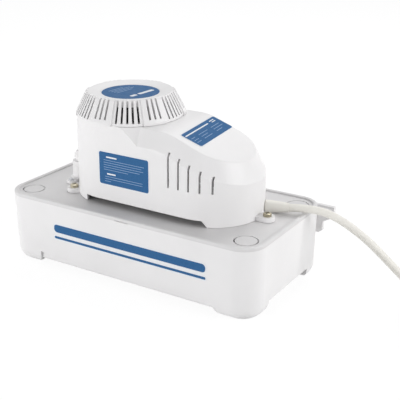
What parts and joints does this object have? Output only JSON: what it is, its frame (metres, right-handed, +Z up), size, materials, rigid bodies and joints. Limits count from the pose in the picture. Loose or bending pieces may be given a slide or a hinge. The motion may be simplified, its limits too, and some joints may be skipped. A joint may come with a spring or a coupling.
{
  "type": "tank pump",
  "caption": "Condensate tank pump: a reservoir with wall ears, a lift-off lid with a vented motor hood, an internal float switch and a discharge check valve.",
  "frame": {"origin": "on the floor under the middle of the tank's footprint", "axes": "+X along the tank towards the switch end and the cord, +Y towards the wall ears, +Z up"},
  "size_m": [0.5235, 0.1515, 0.173],
  "materials": {
    "white_plastic": "satin moulded",
    "lid_plastic": "satin moulded",
    "brass": "bright turned",
    "cast_alloy": "as cast",
    "lamination_steel": "varnished laminations",
    "dark_plastic": "moulded",
    "winding_tape": "taped winding",
    "copper": "bare wire",
    "bronze": "sintered",
    "zinc_steel": "zinc plated",
    "shaft_steel": "ground",
    "rubber": "moulded",
    "grey_plastic": "moulded",
    "foam_float": "closed-cell foam",
    "cord_jacket": "flexible jacket"
  },
  "bodies": {
    "reservoir": {"tank": "white_plastic", "cord_coil": "cord_jacket", "cord_tie": "dark_plastic", "plug_body": "cord_jacket", "plug_blades": "brass", "earth_pin": "brass"},
    "cover": {"lid": "lid_plastic", "hood": "white_plastic", "vent_cap": "white_plastic", "hood_screws": "brass", "lower_bracket": "cast_alloy", "upper_bracket": "cast_alloy", "stator": "lamination_steel", "coil_bobbin": "dark_plastic", "motor_winding": "winding_tape", "shading_rings": "copper", "lower_bearing": "bronze", "upper_bearing": "bronze", "motor_screws": "zinc_steel", "pump_housing": "dark_plastic", "inlet_plate": "dark_plastic", "inlet_screws": "zinc_steel", "column_screws": "zinc_steel", "discharge_tube": "grey_plastic", "valve_body": "white_plastic", "valve_screws": "zinc_steel", "valve_spring": "shaft_steel", "barb_nut": "white_plastic", "float_bracket": "grey_plastic", "float_pin": "shaft_steel", "run_switch": "dark_plastic", "safety_switch": "dark_plastic", "switch_bracket": "zinc_steel", "switch_screws": "zinc_steel", "terminal_block": "grey_plastic", "strain_relief": "cord_jacket", "power_cord": "cord_jacket"},
    "rotor": {"motor_shaft": "shaft_steel", "rotor_core": "lamination_steel", "cooling_fan": "dark_plastic", "slinger": "rubber", "impeller": "dark_plastic"},
    "float_lever": {"float_arm": "grey_plastic", "float": "foam_float"},
    "rod": {"push_rod": "grey_plastic"},
    "run_lever_body": {"run_lever": "shaft_steel"},
    "run_button_body": {"run_button": "grey_plastic"},
    "safety_lever_body": {"safety_lever": "shaft_steel"},
    "safety_button_body": {"safety_button": "grey_plastic"},
    "poppet": {"valve_poppet": "rubber"}
  },
  "joints": [
    {"name": "cover_lift", "type": "slide", "parent": "reservoir", "child": "cover", "axis": [0, 0, 1], "range_m": [0, 0.08]},
    {"name": "rotor_spin", "type": "hinge", "parent": "cover", "child": "rotor", "pos_m": [-0.035, 0, 0.11], "axis": [0, 0, 1], "continuous": true},
    {"name": "float_swing", "type": "hinge", "parent": "cover", "child": "float_lever", "pos_m": [0.028, 0, 0.06], "axis": [0, -1, 0], "range_deg": [0, 18]},
    {"name": "rod_lift", "type": "slide", "parent": "cover", "child": "rod", "axis": [0, 0, 1], "range_m": [0, 0.0053]},
    {"name": "run_lever_swing", "type": "hinge", "parent": "cover", "child": "run_lever_body", "pos_m": [0.082, -0.007, 0.0936], "axis": [0, 1, 0], "range_deg": [0, 8.6]},
    {"name": "run_button_press", "type": "slide", "parent": "cover", "child": "run_button_body", "axis": [0, 0, 1], "range_m": [0, 0.0019]},
    {"name": "safety_lever_swing", "type": "hinge", "parent": "cover", "child": "safety_lever_body", "pos_m": [0.082, 0.007, 0.0991], "axis": [0, 1, 0], "range_deg": [0, 8.6], "stiffness_Nm_per_rad": 0.02, "springref_deg": -5.73},
    {"name": "safety_button_press", "type": "slide", "parent": "cover", "child": "safety_button_body", "axis": [0, 0, 1], "range_m": [0, 0.0019]},
    {"name": "valve_open", "type": "slide", "parent": "cover", "child": "poppet", "axis": [0, 0, 1], "range_m": [0, 0.003], "stiffness_N_per_m": 40, "springref_m": -0.001, "deforming": ["valve_spring"]}
  ],
  "couplings": [
    {"joint": "rod_lift", "follows": "float_swing", "m_per_rad": 0.01686},
    {"joint": "run_lever_swing", "follows": "float_swing", "ratio": 0.4777},
    {"joint": "run_button_press", "follows": "float_swing", "m_per_rad": 0.00604},
    {"joint": "safety_button_press", "follows": "safety_lever_swing", "m_per_rad": 0.01264}
  ]
}
